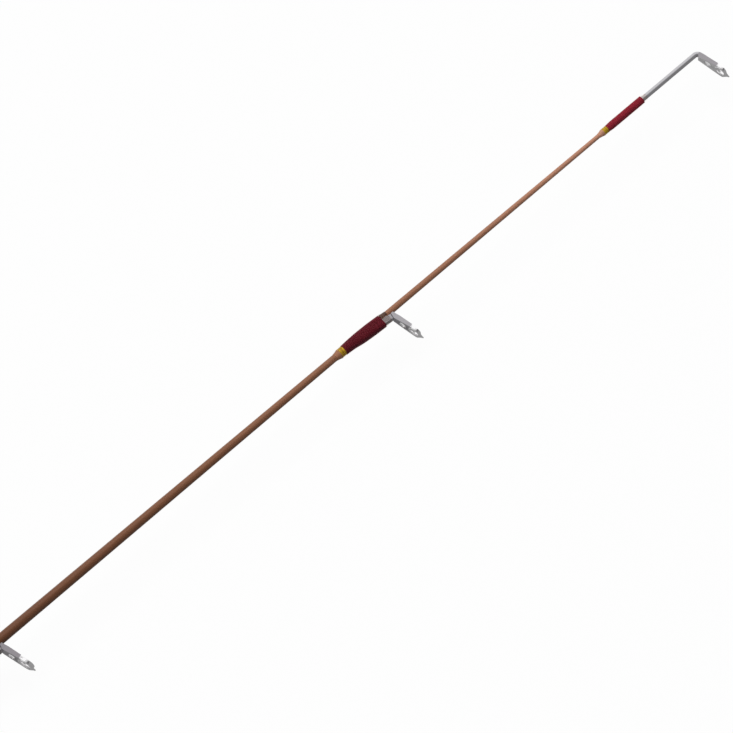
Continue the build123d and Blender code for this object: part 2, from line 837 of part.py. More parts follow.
nut_band = turned(
    [
        (x_nut, nut_r - band_wall),
        (x_nut, nut_r),
        (x_nut + band_length, nut_r),
        (x_nut + band_length, nut_r - band_wall),
    ],
    [0, 0.2, 0.2, 0],
)
save(nut_band, "nut_band")

with BuildPart() as seat_arbors:
    for place in range(arbor_count):
        x = x_seat + (seat_length - arbor_length) * place / (arbor_count - 1)
        with BuildSketch(Plane.YZ.offset(x)):
            Circle(barrel_bore_r - glue_gap)
            Circle(inner_r, mode=Mode.SUBTRACT)
        extrude(amount=arbor_length)
save(seat_arbors, "seat_arbors")
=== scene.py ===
import bpy
import bmesh
import json
import numpy as np
from math import asin, atan2, cos, pi, radians, sin
from mathutils import Matrix, Vector, noise
from mathutils.bvhtree import BVHTree

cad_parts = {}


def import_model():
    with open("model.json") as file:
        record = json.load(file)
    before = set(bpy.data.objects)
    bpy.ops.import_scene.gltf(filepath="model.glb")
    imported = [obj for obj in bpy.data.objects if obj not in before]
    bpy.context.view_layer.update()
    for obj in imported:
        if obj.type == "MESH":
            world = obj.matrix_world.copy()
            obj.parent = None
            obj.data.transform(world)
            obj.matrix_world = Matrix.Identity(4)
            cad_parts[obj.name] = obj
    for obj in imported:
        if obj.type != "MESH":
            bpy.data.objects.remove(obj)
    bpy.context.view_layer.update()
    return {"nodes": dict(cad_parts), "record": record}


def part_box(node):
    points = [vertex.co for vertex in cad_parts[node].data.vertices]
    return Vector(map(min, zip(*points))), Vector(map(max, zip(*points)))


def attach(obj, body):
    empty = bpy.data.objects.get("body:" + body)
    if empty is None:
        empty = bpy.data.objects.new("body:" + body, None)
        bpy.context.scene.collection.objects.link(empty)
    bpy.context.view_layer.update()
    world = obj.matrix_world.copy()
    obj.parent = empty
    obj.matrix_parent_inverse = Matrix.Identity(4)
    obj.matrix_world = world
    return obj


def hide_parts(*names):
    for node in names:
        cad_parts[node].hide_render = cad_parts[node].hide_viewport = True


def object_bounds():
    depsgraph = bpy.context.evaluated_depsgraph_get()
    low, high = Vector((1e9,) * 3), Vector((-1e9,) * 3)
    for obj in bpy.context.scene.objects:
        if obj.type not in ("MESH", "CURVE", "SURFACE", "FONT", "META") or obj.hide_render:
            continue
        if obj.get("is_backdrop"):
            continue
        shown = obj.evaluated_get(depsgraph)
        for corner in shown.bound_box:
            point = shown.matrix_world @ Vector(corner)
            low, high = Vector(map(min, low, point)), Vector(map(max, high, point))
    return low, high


# The looks of the ice fishing rod. The rod's axis is the X axis, butt at x = 0, and the
# rod lies on its grips and its largest guide. Metres, in the CAD's own frame.

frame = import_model()
nodes = frame["nodes"]
mm = 0.001

# Scans of the CAD's surfaces
round_sides = 72            # points round a wound or turned piece
outside = 40 * mm           # further from the axis than any surface
stretch_step = 0.05 * mm    # between looks for where a wound node starts and ends
crease = radians(40)        # angle from which an edge is sharp on a piece made here
cad_crease = radians(28)    # the same on a copy of a CAD mesh
cad_merge = 0.0005 * mm     # corners closer than this are one
cad_flat = radians(0.4)     # faces within this angle are one flat
end_inset = 0.02 * mm       # how far inside its ends a piece is scanned

# Blank
blank_steps = 90            # places along its bare part
butt_step = 0.4 * mm        # from its butt to the next place
tip_step = 0.15 * mm        # from the last of those places to its tip
blank_core = 0.02           # share of its radius left open, as its mesh is a shell too
lacquer_and_light_span = (480, 730)  # mm from the butt, where its brown gets paler, partly as thinner lacquer and partly as painted light

# Windings
thread_pitch = 0.2 * mm
thread_ridge = 0.009 * mm
gold_pitch = 0.4 * mm
gold_ridge = 0.035 * mm
ridge_round = 0.7           # below 1 for broad ridges with narrow valleys
ridge_middle = 0.6          # part of a ridge's height that lies on the CAD's surface
turn_steps = 5              # places along each turn
winding_scan = 0.4 * mm     # between scans
winding_wall = 0.16 * mm
thread_painted_light_span = (650, 725)   # mm from the butt, where painted light makes the maroon brighter

# Clear finish
film = 0.012 * mm           # clearance between the thread and the finish over it
finish_least = 0.01 * mm    # its least thickness
finish_scan = 0.25 * mm     # between scans
finish_draw = 1.2 * mm      # beside the thread it draws in over this length
finish_left = 0.55          # to this share of its thickness
brown_fade = 0.1 * mm       # from clear to brown beside the thread
foot_edge = 2.0             # how sharply the clear part over a guide's foot ends, round the rod
foot_level = 0.1            # how clear it is a quarter turn from the foot's middle
foot_clear = 0.8            # how clear it gets at most

# Guide frames. Places along a blade are in ring radii from the ring's centre to its end.
cuts_along = (-0.95, -0.75, -0.55, 0.25, 0.36, 0.5, 0.7, 1.0)
cuts_across = (-0.8, -0.6, -0.4, -0.2, 0.0, 0.2, 0.4, 0.6, 0.8)
flange_places = [-0.95, -0.55, 0.25, 0.36, 0.5, 1.3]
flange_heights = [9, 0.45, 0.45, 0.7, 0.4, 0.25]            # mm at those places
narrow_places = [0.5, 1.4]
narrow_shares = [0.0, 0.65]                                 # of the blade's width, taken off
painted_light_places = [-0.75, -0.6, 0.25, 0.32, 0.45, 0.55]
lip_painted_light = -0.6           # painted light runs from -1, painted dark, over 0, plain, to 1, painted bright
edge_painted_light = 0.8           # how much brighter the back is painted one ring radius off its middle line, as painted shading across it
faces_in = 0.3              # how straight a face looks at the middle line to count as inside
faces_back = 0.8            # the same for the blade's back
blade_edge = 0.1 * mm       # rounding of the pressed edges
bore_margin = 0.1           # mm, a ring's bore in the record is this much longer than its rim
ring_proud = 0.06 * mm      # a ring may stand out behind its blade by this
ring_trim = 0.9             # share taken off what stands out further
frame_painted_light = {            # painted light on the strip of flange and on the blade's back
    "upper_guide": (-0.6, -1.0),
    "middle_guide": (-1.0, -1.0),
    "stripper_guide": (-0.3, -0.6),
    "tip": (-0.8, 0.6),
}
line_guides = ["upper_guide", "middle_guide", "stripper_guide"]

# Screw of the reel seat
screw_pitch = 2.5 * mm
screw_depth = 0.39 * mm
screw_play = 0.06 * mm      # nut clear of the thread's crests
screw_lift = 0.01 * mm      # thread clear of the seat's plain surface
screw_inset = 0.3 * mm      # at each end of the threaded part
screw_runout = 1.2 * mm     # length over which the thread starts and ends
screw_scan = 0.18 * mm
screw_wall = 0.5 * mm
screw_turns = 120           # points round it
flank = 6.0                 # steepness of the thread's sides
barrel_step = 0.2 * mm      # the threaded part's radius is smaller than the seat's by more
screw_look = 0.25 * mm      # between looks for where the threaded part starts
key_half = 1.46 * mm        # half the width of the groove for the hood's key

# Cork
cork_ring = 12.7 * mm       # thickness of the cork rings that a grip is glued from
cork_seam = 0.14 * mm       # depth of the groove between two rings
cork_seam_half = 0.45 * mm  # half its width
cork_scan = 0.45 * mm
cork_pit = 0.35 * mm        # depth of its pits
cork_wave = 0.03 * mm       # unevenness of the sanding
cork_stretch = 0.8          # pits are longer along the grip
pit_scale = 0.55            # per mm, of the noise that places the pits
crumb_scale = 1.6           # and of the finer noise that breaks up their outlines
crumb_share = 0.4
wave_scale = 0.16
cork_glue = 0.05 * mm       # gap between the grip and the blank
pit_level = 0.38            # the rarer the pits, the higher
pit_edge = 3.5              # steepness of their sides

# Stage
floor_white = 0.95          # share of plain white in the floor that the camera sees
card_low = 0.3              # grey of the cards at the floor and overhead
card_high = 0.65
card_radius = 1.0
card_ends = (-2.0, 3.0)     # along the rod
card_start = -3             # degrees over the floor, in front of the rod
card_turn = 82
card_steps = 40


# ------------------------------------------------------------------ reading the CAD's surfaces
def surface(*names):
    """Search tree over the surfaces of some CAD nodes."""
    points = []
    faces = []
    for name in names:
        mesh = nodes[name].data
        start = len(points)
        points += [vertex.co.copy() for vertex in mesh.vertices]
        faces += [[start + i for i in face.vertices] for face in mesh.polygons]
    return BVHTree.FromPolygons(points, faces)


def radius_at(tree, x, angle):
    """Distance of the outermost surface from the rod's axis, or 0 where there is none."""
    out = Vector((0, cos(angle), sin(angle)))
    start = Vector((x, 0, 0)) + out * outside
    hit = tree.ray_cast(start, -out, outside)[0]
    return (hit - Vector((x, 0, 0))).length if hit else 0.0


def angles(count=round_sides):
    """Angles all round the rod's axis."""
    return [2 * pi * i / count for i in range(count)]


def scan(tree, places):
    """Radii of a surface, one row for each place along the rod, one column for each angle."""
    return np.array([[radius_at(tree, x, angle) for angle in angles()] for x in places])


def steps(start, end, step):
    """Places from start to end, about a step apart."""
    return np.linspace(start, end, 1 + round((end - start) / step))


def all_round(column, count=round_sides):
    """A grid with one value for each place, the same at all angles."""
    return np.repeat(column[:, None], count, axis=1)


def soften(radii, along, around):
    """Rounds a scanned surface off, so many times along the rod and round it."""
    for _ in range(along):
        inner = (radii[:-2] + 2 * radii[1:-1] + radii[2:]) / 4
        radii = np.vstack([radii[:1], inner, radii[-1:]])
    for _ in range(around):
        radii = (np.roll(radii, 1, axis=1) + 2 * radii + np.roll(radii, -1, axis=1)) / 4
    return radii


def stretch(radii, places, finer):
    """Scanned radii at finer places along the rod."""
    columns = [np.interp(finer, places, radii[:, i]) for i in range(radii.shape[1])]
    return np.stack(columns, axis=1)


def turns_of(places, pitch, around):
    """How many turns of a right-hand helix lie before each point of a grid."""
    return np.array(places)[:, None] / pitch - np.array(around)[None, :] / (2 * pi)


def stretches(node):
    """Start and end of each separate stretch of a wound node."""
    low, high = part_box(node)
    tree = surface(node)
    places = np.arange(low.x + stretch_step / 2, high.x, stretch_step)
    there = [radius_at(tree, x, 0.0) > 0 for x in places]
    starts = [x for x, now, before in zip(places, there, [False] + there) if now and not before]
    ends = [x for x, now, after in zip(places, there, there[1:] + [False]) if now and not after]
    return list(zip(starts, ends))


def distance(places, spans):
    """How far each place lies from the nearest of some spans, 0 inside them."""
    gaps = [np.maximum(np.maximum(low - places, places - high), 0.0) for low, high in spans]
    return np.min(gaps, axis=0)


# ------------------------------------------------------------------ making pieces
def piece(name, mesh, slot, body, stands_for=()):
    """Adds a piece of the object that rides on a CAD body and takes its finish from a slot."""
    made = bpy.data.objects.new(name, mesh)
    bpy.context.scene.collection.objects.link(made)
    mesh.materials.clear()
    mesh.materials.append(materials[slot])
    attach(made, body)
    if stands_for:
        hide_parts(*stands_for)
    return made


def sleeve(places, outer, inner, turns=None, slotted=False):
    """Points and faces of a closed shell round the rod's axis, between two grids of radii.

    A slotted one stops at the first and last of its angles."""
    turns = turns or angles()
    count = len(turns)
    points = []
    for radii in (outer, inner):
        for x, row in zip(places, radii):
            points += [(x, r * cos(angle), r * sin(angle)) for r, angle in zip(row, turns)]
    rows = len(places)
    inside = rows * count
    last = (rows - 1) * count
    faces = []
    for i in range(count - slotted):
        j = (i + 1) % count
        for a in range(0, last, count):
            b = a + count
            faces.append((a + i, a + j, b + j, b + i))
            faces.append((inside + a + j, inside + a + i, inside + b + i, inside + b + j))
        faces.append((j, i, inside + i, inside + j))
        faces.append((last + i, last + j, inside + last + j, inside + last + i))
    if slotted:
        for a in range(0, last, count):
            b = a + count
            faces.append((a, b, inside + b, inside + a))
            faces.append((b - 1 + count, b - 1, inside + b - 1, inside + b - 1 + count))
    return points, faces


def smooth(mesh, sharp_from):
    """Smooth shading, with edges sharp from an angle."""
    mesh.polygons.foreach_set("use_smooth", [True] * len(mesh.polygons))
    mesh.set_sharp_from_angle(angle=sharp_from)
    return mesh


def mesh_of(name, *shells):
    """One smooth mesh from shells of points and faces."""
    points = []
    faces = []
    for shell_points, shell_faces in shells:
        start = len(points)
        points += shell_points
        faces += [[start + i for i in face] for face in shell_faces]
    mesh = bpy.data.meshes.new(name)
    mesh.from_pydata(points, [], faces)
    return smooth(mesh, crease)


def note(mesh, name, domain, values):
    """Keeps a number for each point or face of a mesh, for its material."""
    mesh.attributes.new(name, "FLOAT", domain).data.foreach_set("value", values)


def smooth_copy(name):
    """A CAD node's mesh with its split corners joined, flats merged and curves smooth."""
    mesh = bpy.data.meshes.new(name)
    shape = bmesh.new()
    shape.from_mesh(nodes[name].data)
    bmesh.ops.remove_doubles(shape, verts=shape.verts, dist=cad_merge)
    bmesh.ops.dissolve_limit(
        shape, angle_limit=cad_flat, verts=shape.verts, edges=shape.edges,
    )
    shape.to_mesh(mesh)
    shape.free()
    if "custom_normal" in mesh.attributes:
        mesh.attributes.remove(mesh.attributes["custom_normal"])
    return smooth(mesh, cad_crease)


def body_of_node(name):
    """The CAD body that a node belongs to."""
    for body, members in frame["record"]["behaviour"]["bodies"].items():
        if name in members:
            return body
    return "rod"


def finished_copy(name, slot):
    """A smooth copy of a CAD node, which stands for it."""
    made = piece(name + "_smooth", smooth_copy(name), slot, body_of_node(name), [name])
    weighted = made.modifiers.new("weighted", "WEIGHTED_NORMAL")
    weighted.keep_sharp = True
    return made


# ------------------------------------------------------------------ materials
class Shader:
    """The nodes of a material or a world, under construction."""

    def __init__(self, name, kind=bpy.data.materials):
        self.made = kind.new(name)
        self.made.use_nodes = True
        self.tree = self.made.node_tree
        self.output = next(node for node in self.tree.nodes if "Output" in node.bl_idname)
        self.bsdf = self.output.inputs["Surface"].links[0].from_node

    def add(self, kind, settings=(), **sockets):
        """Adds a node, sets its properties, and sets or links its named sockets."""
        node = self.tree.nodes.new("ShaderNode" + kind)
        for key, value in dict(settings).items():
            setattr(node, key, value)
        for key, value in sockets.items():
            self.put(node, key, value)
        return node

    def put(self, node, key, value):
        """Sets or links a socket, found by its name, or by its number as n0, n1 and so on."""
        numbered = key[0] == "n" and key[1:].isdigit()
        socket = node.inputs[int(key[1:]) if numbered else key]
        if isinstance(value, bpy.types.NodeSocket):
            self.tree.links.new(value, socket)
        elif socket.type == "RGBA":
            socket.default_value = (*value, 1)
        else:
            socket.default_value = value

    def surface(self, **sockets):
        """Sets or links sockets of the material's Principled shader."""
        for key, value in sockets.items():
            self.put(self.bsdf, key.replace("_", " "), value)

    def show(self, node):
        """Makes a node's output what the material or the world shows."""
        self.tree.links.new(node.outputs[0], self.output.inputs["Surface"])

    def show_only(self, node):
        """The same, without the shader that a new material or world comes with."""
        self.tree.nodes.remove(self.bsdf)
        self.show(node)

    def place(self, scale=(1, 1, 1)):
        """Object coordinates in millimetres, stretched by scale."""
        coordinates = self.add("TexCoord").outputs["Object"]
        full = [s / mm for s in scale]
        return self.add("Mapping", n0=coordinates, Scale=full).outputs[0]

    def along(self):
        """Distance along the rod in millimetres."""
        return self.add("SeparateXYZ", n0=self.place()).outputs[0]

    def attribute(self, name):
        """A number that the mesh keeps for its points or faces."""
        return self.add("Attribute", [("attribute_name", name)]).outputs["Fac"]

    def noise(self, vector, scale, detail=3.0, roughness=0.55):
        """Cloudy noise, mostly from 0.3 to 0.7."""
        node = self.add("TexNoise", Vector=vector, Scale=scale, Detail=detail, Roughness=roughness)
        return node.outputs["Fac"]

    def ramp(self, value, *stops):
        """Colours at places from 0 to 1 along a value."""
        node = self.add("ValToRGB", Fac=value)
        bands = node.color_ramp.elements
        while len(bands) < len(stops):
            bands.new(0.5)
        for band, (place, color) in zip(bands, stops):
            band.position = place
            band.color = (*color, 1)
        return node.outputs[0]

    def math(self, operation, a, b):
        """One arithmetic step."""
        return self.add("Math", [("operation", operation)], n0=a, n1=b).outputs[0]

    def mix(self, factor, a, b):
        """Colour from a, at 0, to b, at 1."""
        return self.add("Mix", [("data_type", "RGBA")], Factor=factor, n6=a, n7=b).outputs[2]

    def shade(self, color, value):
        """A colour made darker, or brighter above 1."""
        return self.add("HueSaturation", Color=color, Value=value).outputs[0]

    def layer(self, factor, a, b):
        """A shader from a, at 0, to b, at 1."""
        return self.add("MixShader", n0=factor, n1=a.outputs[0], n2=b.outputs[0])

    def bump(self, height, distance):
        """Normals of a surface that is raised by up to a distance."""
        return self.add("Bump", Height=height, Distance=distance, Strength=1.0).outputs[0]

    def span(self, value, low, high, to_low, to_high):
        """A value's range from low to high, laid over another."""
        node = self.add("MapRange", Value=value)
        ends = {"From Min": low, "From Max": high, "To Min": to_low, "To Max": to_high}
        for key, number in ends.items():
            node.inputs[key].default_value = number
        return node.outputs[0]


def lacquer_and_painted_light(s):
    """Brown that gets paler towards the tip, partly as the blank gets thinner and partly as
    painted light for the brighter light on the tip.
    """
    return s.ramp(
        s.span(s.along(), *lacquer_and_light_span, 0.0, 1.0),
        (0.0, (0.15, 0.055, 0.023)), (0.4, (0.26, 0.106, 0.05)),
        (0.75, (0.42, 0.187, 0.103)), (1.0, (0.64, 0.31, 0.195)),
    )


def blank_material(name):
    """Brown lacquer over glass fibre."""
    s = Shader(name)
    # The lacquer's brown carries painted light, which makes it paler towards the tip.
    lacquer = lacquer_and_painted_light(s)
    fibres = s.span(s.noise(s.place((0.15, 3, 3)), 1.2), 0.35, 0.65, 0.0, 1.0)
    s.surface(Base_Color=s.mix(fibres, s.shade(lacquer, 0.86), lacquer))
    s.surface(Roughness=s.span(s.noise(s.place(), 0.8), 0.3, 0.7, 0.26, 0.34))
    s.surface(Specular_IOR_Level=0.3)
    return s.made


def thread_material(name):
    """Maroon nylon sealed in finish, each turn a little different, with painted light making it
    brighter near the tip.
    """
    s = Shader(name)
    turns = s.span(s.noise(s.place((5, 0.15, 0.15)), 1.0), 0.3, 0.7, 0.0, 1.0)
    blotches = s.span(s.noise(s.place(), 0.35), 0.35, 0.65, 0.0, 0.4)
    dark = s.mix(turns, (0.1, 0.0065, 0.013), (0.14, 0.0085, 0.019))
    dark = s.mix(blotches, dark, (0.08, 0.005, 0.01))
    # The brighter maroon is painted light for the tip's wrap, not a different thread.
    light = s.mix(turns, (0.27, 0.016, 0.032), (0.33, 0.022, 0.042))
    painted_light_near_tip = s.span(s.along(), *thread_painted_light_span, 0.0, 1.0)
    s.surface(Base_Color=s.mix(painted_light_near_tip, dark, light), Roughness=0.6, Specular_IOR_Level=0.1)
    s.surface(Coat_Weight=0.15, Coat_Roughness=0.4, Coat_IOR=1.4)
    s.surface(Sheen_Weight=0.5, Sheen_Roughness=0.5, Sheen_Tint=(0.55, 0.14, 0.27))
    return s.made


def gold_material(name):
    """Metallic yellow thread."""
    s = Shader(name)
    turns = s.span(s.noise(s.place((4, 0.4, 0.4)), 1.0), 0.35, 0.65, 0.0, 1.0)
    s.surface(Base_Color=s.mix(turns, (0.4, 0.22, 0.003), (0.66, 0.44, 0.01)))
    s.surface(Roughness=0.35, Metallic=0.25)
    s.surface(Normal=s.bump(s.noise(s.place((1, 14, 14)), 1.0), 0.01 * mm))
    return s.made


def clear_material(name):
    """Clear epoxy over the thread, with glossy brown run-outs beside it: the front one painted
    dark as shade from the wrap and the guide's foot, the rear one painted paler than the blank as
    a highlight.
    """
    s = Shader(name)
    # Rear run-out: the lacquer's brown made brighter as a painted highlight.
    pale = s.shade(lacquer_and_painted_light(s), 1.2)
    # Front run-out: dark brown as painted shade.
    color = s.mix(s.attribute("shaded_front"), pale, (0.085, 0.042, 0.027))
    clouds = s.span(s.noise(s.place(), 0.7), 0.3, 0.7, 0.0, 0.3)
    s.surface(Base_Color=s.mix(clouds, color, (0.2, 0.1, 0.06)))
    s.surface(Roughness=0.3, Specular_IOR_Level=0.3)
    clear = s.add("BsdfTransparent", Color=(0.95, 0.91, 0.88))
    plain = s.add("BsdfTransparent", Color=(1, 1, 1))
    coat = s.layer(s.attribute("brown"), clear, s.bsdf)
    s.show(s.layer(s.add("NewGeometry").outputs["Backfacing"], coat, plain))
    return s.made


def metal_material(name, dark, plain, bright, rough):
    """Plated or polished metal, with faint marks in its gloss.

    An attribute, painted_light, runs from -1, painted dark, over 0, plain, to 1, painted bright:
    light and shade painted on the faces of one metal."""
    s = Shader(name)
    marks = s.noise(s.place(), 2.2, 4.0)
    painted_light = s.span(s.attribute("painted_light"), -1.0, 1.0, 0.0, 1.0)
    painted_lit_color = s.ramp(painted_light, (0.0, dark), (0.5, plain), (1.0, bright))
    s.surface(Base_Color=s.mix(s.span(marks, 0.45, 0.75, 0.0, 0.6), painted_lit_color, s.shade(painted_lit_color, 0.88)))
    s.surface(Metallic=1.0, Roughness=s.span(marks, 0.3, 0.7, rough, rough + 0.05))
    return s.made


def brushed_material(name):
    """Sheet metal brushed round the reel seat."""
    s = Shader(name)
    lines = s.noise(s.place((9, 0.4, 0.4)), 1.0, 4.0)
    s.surface(Base_Color=s.mix(lines, (0.5, 0.5, 0.52), (0.66, 0.66, 0.67)))
    s.surface(Metallic=1.0, Roughness=s.span(lines, 0.3, 0.7, 0.24, 0.38))
    s.surface(Normal=s.bump(lines, 0.01 * mm))
    return s.made


def trim_material(name):
    """Anodised aluminium with turning marks."""
    s = Shader(name)
    rings = s.noise(s.place((8, 0.1, 0.1)), 1.0)
    s.surface(Base_Color=s.mix(rings, (0.5, 0.36, 0.14), (0.62, 0.47, 0.22)))
    s.surface(Metallic=1.0, Roughness=s.span(rings, 0.3, 0.7, 0.2, 0.32))
    s.surface(Normal=s.bump(rings, 0.008 * mm))
    return s.made


def cork_material(name):
    """Sanded cork: streaks, flecks and dark pores."""
    s = Shader(name)
    place = s.place()
    grain = s.noise(s.place((1, 0.35, 0.35)), 0.55, 6.0, 0.65)
    color = s.ramp(
        grain, (0.3, (0.36, 0.2, 0.1)), (0.45, (0.55, 0.35, 0.19)),
        (0.6, (0.66, 0.46, 0.28)), (0.75, (0.72, 0.54, 0.35)),
    )
    flecks = s.span(s.noise(place, 1.6, 5.0), 0.58, 0.75, 0.0, 0.6)
    color = s.mix(flecks, color, (0.25, 0.12, 0.055))
    cells = s.add("TexVoronoi", Vector=place, Scale=0.42).outputs["Distance"]
    pore_size = s.span(s.noise(place, 0.3), 0.45, 0.75, 0.0, 0.45)
    pores = s.math("LESS_THAN", cells, pore_size)
    s.surface(Base_Color=s.mix(pores, color, (0.12, 0.055, 0.025)))
    s.surface(Roughness=0.82, Specular_IOR_Level=0.25)
    depth = s.math("SUBTRACT", s.math("MULTIPLY", grain, 0.3), pores)
    s.surface(Normal=s.bump(depth, 0.12 * mm))
    return s.made


def rubber_material(name):
    """Matte rubber with a fine moulded grain and a few scuffs."""
    s = Shader(name)
    grain = s.noise(s.place(), 3.0, 2.0)
    scuffs = s.noise(s.place((0.5, 0.5, 0.5)), 0.9, 6.0, 0.7)
    worn = s.span(scuffs, 0.55, 0.75, 0.0, 1.0)
    s.surface(Base_Color=s.mix(worn, (0.02, 0.02, 0.021), (0.06, 0.058, 0.055)))
    s.surface(Roughness=s.span(scuffs, 0.4, 0.7, 0.55, 0.75), Specular_IOR_Level=0.35)
    s.surface(Normal=s.bump(grain, 0.05 * mm))
    return s.made


def seat_material(name):
    """Black glass-filled nylon, satin."""
    s = Shader(name)
    grain = s.noise(s.place(), 5.0)
    flow = s.noise(s.place((0.2, 1, 1)), 0.5)
    s.surface(Base_Color=s.mix(flow, (0.016, 0.016, 0.018), (0.032, 0.031, 0.033)))
    s.surface(Roughness=s.span(grain, 0.3, 0.7, 0.3, 0.44))
    s.surface(Normal=s.bump(grain, 0.02 * mm))
    return s.made


def arbor_material(name):
    """Pale foam."""
    s = Shader(name)
    cells = s.add("TexVoronoi", Vector=s.place(), Scale=1.8).outputs["Distance"]
    s.surface(Base_Color=s.mix(cells, (0.5, 0.47, 0.38), (0.78, 0.75, 0.66)), Roughness=0.9)
    s.surface(Normal=s.bump(cells, 0.2 * mm))
    return s.made


kinds = {
    "blank": blank_material,
    "cork": cork_material,
    "rubber_cap": rubber_material,
    "trim_metal": trim_material,
    "seat_plastic": seat_material,
    "arbor": arbor_material,
    "hood_metal": brushed_material,
    "wrap_thread": thread_material,
    "gold_thread": gold_material,
    "clear_finish": clear_material,
}
materials = {slot: make(slot) for slot, make in kinds.items()}
materials["guide_metal"] = metal_material(
    "guide_metal", (0.3, 0.28, 0.3), (0.56, 0.55, 0.57), (0.98, 0.97, 0.98), 0.17,
)
materials["ring_metal"] = metal_material(
    "ring_metal", (0.6, 0.58, 0.6), (0.97, 0.96, 0.97), (0.98, 0.97, 0.98), 0.1,
)
slot_of = {entry["node"]: entry["material_slot"] for entry in frame["record"]["subparts"]}
for name, node in nodes.items():
    node.data.materials.clear()
    node.data.materials.append(materials[slot_of[name]])


# ------------------------------------------------------------------ blank
def blank():
    """The tapered blank, round and smooth from the handle to the tip."""
    low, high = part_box("blank")
    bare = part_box("winding_check")[1].x
    places = [low.x, low.x + butt_step]
    places += list(np.linspace(bare - 1 * mm, high.x - tip_step, blank_steps))
    places.append(high.x)
    inside = [low.x + end_inset] + places[1:-1] + [high.x - end_inset]
    radii = all_round(scan(surface("blank"), inside).max(axis=1))
    mesh = mesh_of("blank_lacquered", sleeve(places, radii, radii * blank_core))
    piece("blank_lacquered", mesh, "blank", "rod", ["blank"])


blank()


# ------------------------------------------------------------------ thread wraps
ring_low, ring_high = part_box("upper_guide_ring")
# Angle round the rod's axis that the guides point to
guides_turn = atan2(ring_low.z + ring_high.z, ring_low.y + ring_high.y)


def wound(name, node, slot, pitch, ridge, softer):
    """A thread winding: the CAD's sleeve, rounded off, with the ridges of its turns."""
    tree = surface(node)
    shells = []
    for start, end in stretches(node):
        coarse = steps(start, end, winding_scan)
        shape = soften(scan(tree, coarse), softer, 2)
        fine = np.linspace(start, end, 1 + turn_steps * round((end - start) / pitch))
        body = stretch(shape, coarse, fine)
        ridges = np.abs(np.cos(pi * turns_of(fine, pitch, angles()))) ** ridge_round
        outer = body + ridge * (ridges - ridge_middle)
        shells.append(sleeve(fine, outer, body - winding_wall))
    piece(name, mesh_of(name, *shells), slot, "rod", [node])


def finish_coat(name, node, threads, base, bare_front):
    """Clear finish from the CAD's outside down to the thread, foot and blank that it covers.

    Beside the thread it draws in to the blank. The mesh keeps how brown the finish is at each
    point, which it is beside the thread, but not over a guide's foot, nor in front of a wrap
    with a bare front."""
    tree = surface(node)
    under = surface(*threads, "blank", base)
    spans = [span for thread in threads for span in stretches(thread)]
    foot = foot_edge * np.cos(np.array(angles()) - guides_turn)[None, :] + foot_level
    foot = foot_clear * np.clip(foot, 0.0, 1.0)
    shells = []
    brown = []
    sides = []
    for start, end in stretches(node):
        places = steps(start, end, finish_scan)
        inner = scan(under, places) + film
        outer = np.maximum(soften(scan(tree, places), 4, 3), inner + finish_least)
        beside = distance(places, [span for span in spans if span[1] > start and span[0] < end])
        left = np.interp(beside, [0.0, finish_draw], [1.0, finish_left])
        outer = inner + (outer - inner) * left[:, None]
        shells.append(sleeve(places, outer, inner))
        # The front half is marked, because its brown is painted dark as shade from the wrap and
        # the guide's foot.
        shaded_front = all_round(places > (start + end) / 2)
        color = all_round(np.clip(beside / brown_fade, 0.0, 1.0))
        color *= 1 - shaded_front * (1.0 if bare_front else foot)
        brown += [*color.ravel()] * 2
        sides += [*shaded_front.ravel()] * 2
    mesh = mesh_of(name, *shells)
    note(mesh, "brown", "POINT", brown)
    note(mesh, "shaded_front", "POINT", sides)
    piece(name, mesh, "clear_finish", "rod", [node])


def wrapping(name, wrap, trim, finish, base):
    """A winding with its gold band and its clear finish."""
    wound(name + "_wound_thread", wrap, "wrap_thread", thread_pitch, thread_ridge, 6)
    wound(name + "_gold_band", trim, "gold_thread", gold_pitch, gold_ridge, 0)
    finish_coat(name + "_clear_coat", finish, [wrap, trim], base, name == "tip")


for guide in line_guides:
    wrapping(guide, guide + "_wrap", guide + "_trim", guide + "_finish", guide + "_frame")
wrapping("tip", "tip_wrap", "tip_trim", "tip_finish", "tip_tube")
wrapping("keeper", "keeper_wraps", "keeper_trims", "keeper_finish", "hook_keeper")


